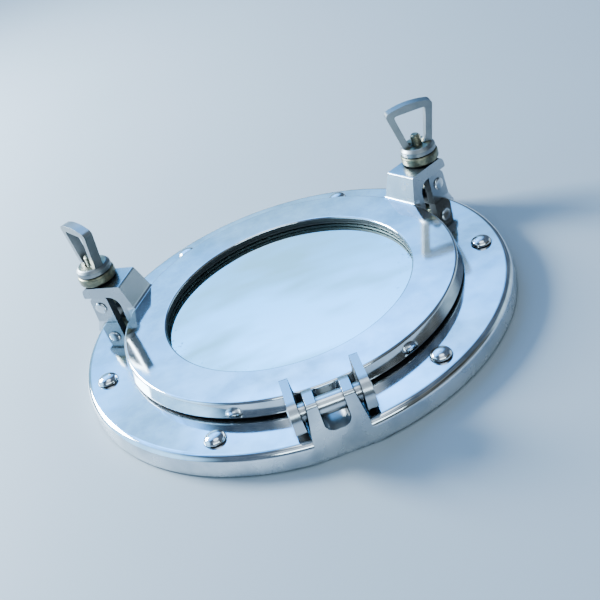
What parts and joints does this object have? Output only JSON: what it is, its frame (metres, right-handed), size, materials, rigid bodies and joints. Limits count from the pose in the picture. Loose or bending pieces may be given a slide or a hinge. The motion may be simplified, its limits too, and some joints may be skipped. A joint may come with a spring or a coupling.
{
  "type": "opening porthole",
  "caption": "Round opening porthole with a mirror in its door: flanged base ring, hinge with a pin, and swing-bolt dogs with loop nuts.",
  "frame": {"origin": "centre of the base ring's back plane, which lies on the wall or on the table", "axes": "+Z out of the face towards the room, -Y towards the hinge, +X to the right with the hinge below"},
  "size_m": [0.23, 0.2288, 0.0702],
  "materials": {
    "polished_aluminium": "polished sand casting, bright with fine buffing marks",
    "plated_screw": "bright plated, polished dome",
    "bright_steel": "turned, bright",
    "tarnished_brass": "dull, tarnished dark",
    "mirror_glass": "silvered float glass",
    "black_rubber": "matt",
    "backing_board": "hardboard"
  },
  "bodies": {
    "base": {"base_ring": "polished_aluminium", "door_seal": "black_rubber", "hinge_pin": "bright_steel", "flange_screw_1": "plated_screw", "flange_screw_2": "plated_screw", "flange_screw_3": "plated_screw", "flange_screw_4": "plated_screw", "flange_screw_5": "plated_screw", "flange_screw_6": "plated_screw", "left_pivot_pin": "bright_steel", "right_pivot_pin": "bright_steel"},
    "door": {"door_ring": "polished_aluminium", "mirror_glass": "mirror_glass", "glass_gasket": "black_rubber", "backing_plate": "backing_board", "retaining_ring": "bright_steel", "retaining_screw_1": "bright_steel", "retaining_screw_2": "bright_steel", "retaining_screw_3": "bright_steel", "retaining_screw_4": "bright_steel", "retaining_screw_5": "bright_steel", "retaining_screw_6": "bright_steel"},
    "left_dog": {"left_swing_bolt": "tarnished_brass"},
    "left_washer_seat": {"left_washer": "tarnished_brass"},
    "left_nut": {"left_loop_nut": "polished_aluminium"},
    "right_dog": {"right_swing_bolt": "tarnished_brass"},
    "right_washer_seat": {"right_washer": "tarnished_brass"},
    "right_nut": {"right_loop_nut": "polished_aluminium"}
  },
  "joints": [
    {"name": "door_hinge", "type": "hinge", "parent": "base", "child": "door", "pos_m": [0, -0.1045, 0.022], "axis": [1, 0, 0], "range_deg": [0, 100]},
    {"name": "left_dog_swing", "type": "hinge", "parent": "base", "child": "left_dog", "pos_m": [-0.09526, 0.055, 0.0215], "axis": [-0.5, -0.866, 0], "range_deg": [0, 95]},
    {"name": "left_washer_lift", "type": "slide", "parent": "left_dog", "child": "left_washer_seat", "axis": [0, 0, 1], "range_m": [0, 0.003]},
    {"name": "left_nut_turn", "type": "hinge", "parent": "left_washer_seat", "child": "left_nut", "pos_m": [-0.09526, 0.055, 0.0215], "axis": [0, 0, 1], "range_deg": [0, 1080]},
    {"name": "right_dog_swing", "type": "hinge", "parent": "base", "child": "right_dog", "pos_m": [0.09526, 0.055, 0.0215], "axis": [-0.5, 0.866, 0], "range_deg": [0, 95]},
    {"name": "right_washer_lift", "type": "slide", "parent": "right_dog", "child": "right_washer_seat", "axis": [0, 0, 1], "range_m": [0, 0.003]},
    {"name": "right_nut_turn", "type": "hinge", "parent": "right_washer_seat", "child": "right_nut", "pos_m": [0.09526, 0.055, 0.0215], "axis": [0, 0, 1], "range_deg": [0, 1080]}
  ],
  "couplings": [
    {"joint": "left_nut_turn", "follows": "left_washer_lift", "rad_per_m": 6283.2},
    {"joint": "right_nut_turn", "follows": "right_washer_lift", "rad_per_m": 6283.2}
  ]
}
